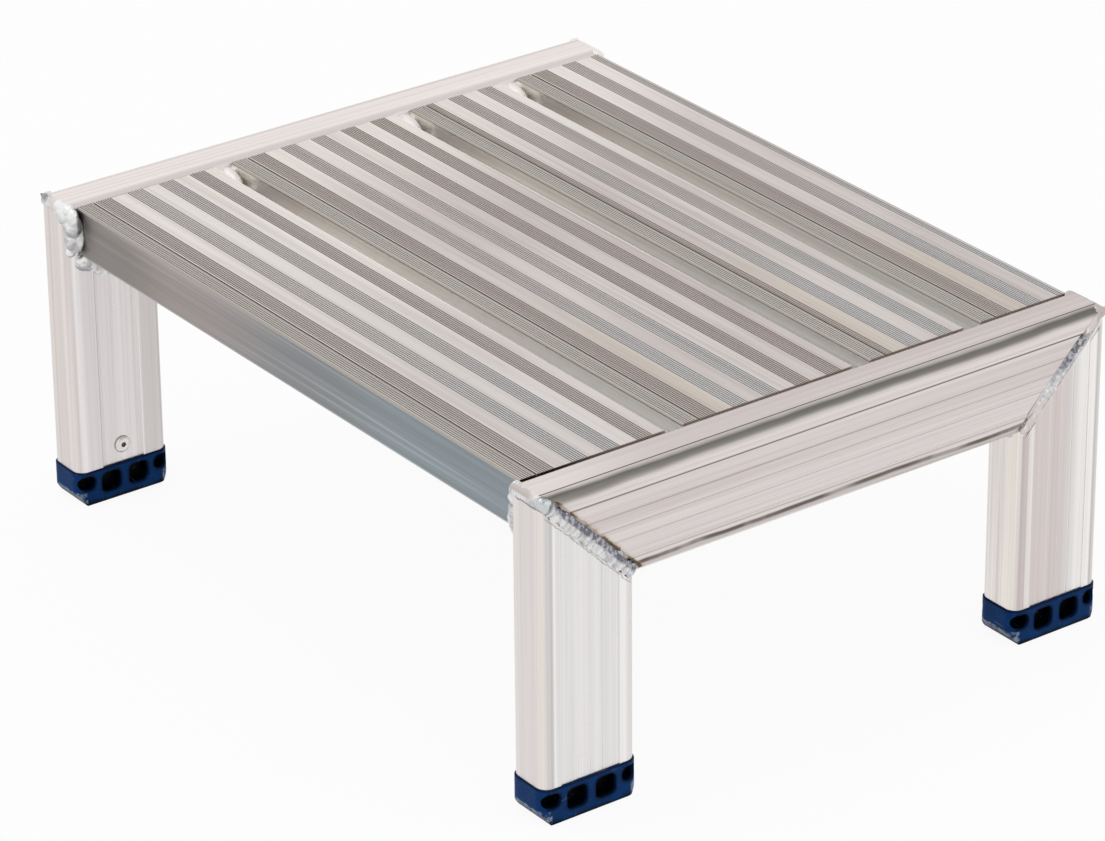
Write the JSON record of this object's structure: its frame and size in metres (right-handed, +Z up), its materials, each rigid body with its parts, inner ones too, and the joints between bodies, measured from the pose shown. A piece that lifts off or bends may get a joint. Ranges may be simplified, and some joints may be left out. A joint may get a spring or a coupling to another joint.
{
  "type": "platform steps",
  "caption": "Low welded aluminium platform step: ribbed treads between two mitred side frames, standing on pocketed blue moulded feet.",
  "frame": {"origin": "on the floor plane, under the middle of the platform", "axes": "+X along the treads from the left frame to the right frame, +Y from front to back, +Z up"},
  "size_m": [0.5086, 0.402, 0.2],
  "materials": {
    "stile": "mill finish, fine die lines along the section",
    "tread": "mill finish, ribbed and smooth bands",
    "weld": "rippled bright weld metal with grey edges",
    "foot": "moulded, semi-matt",
    "rivet": "plain bright",
    "rivet_pin": "dull broken end"
  },
  "bodies": {
    "root": {"right_rail": "stile", "left_rail": "stile", "front_right_leg": "stile", "front_right_foot": "foot", "front_right_foot_rivet": "rivet", "front_right_rivet_pin": "rivet_pin", "front_right_mitre_weld": "weld", "front_left_leg": "stile", "front_left_foot": "foot", "front_left_foot_rivet": "rivet", "front_left_rivet_pin": "rivet_pin", "front_left_mitre_weld": "weld", "back_right_leg": "stile", "back_right_foot": "foot", "back_right_foot_rivet": "rivet", "back_right_rivet_pin": "rivet_pin", "back_right_mitre_weld": "weld", "back_left_leg": "stile", "back_left_foot": "foot", "back_left_foot_rivet": "rivet", "back_left_rivet_pin": "rivet_pin", "back_left_mitre_weld": "weld", "front_tread": "tread", "front_tread_weld_right": "weld", "front_tread_weld_left": "weld", "second_tread": "tread", "second_tread_weld_right": "weld", "second_tread_weld_left": "weld", "third_tread": "tread", "third_tread_weld_right": "weld", "third_tread_weld_left": "weld", "back_tread": "tread", "back_tread_weld_right": "weld", "back_tread_weld_left": "weld"}
  },
  "joints": []
}
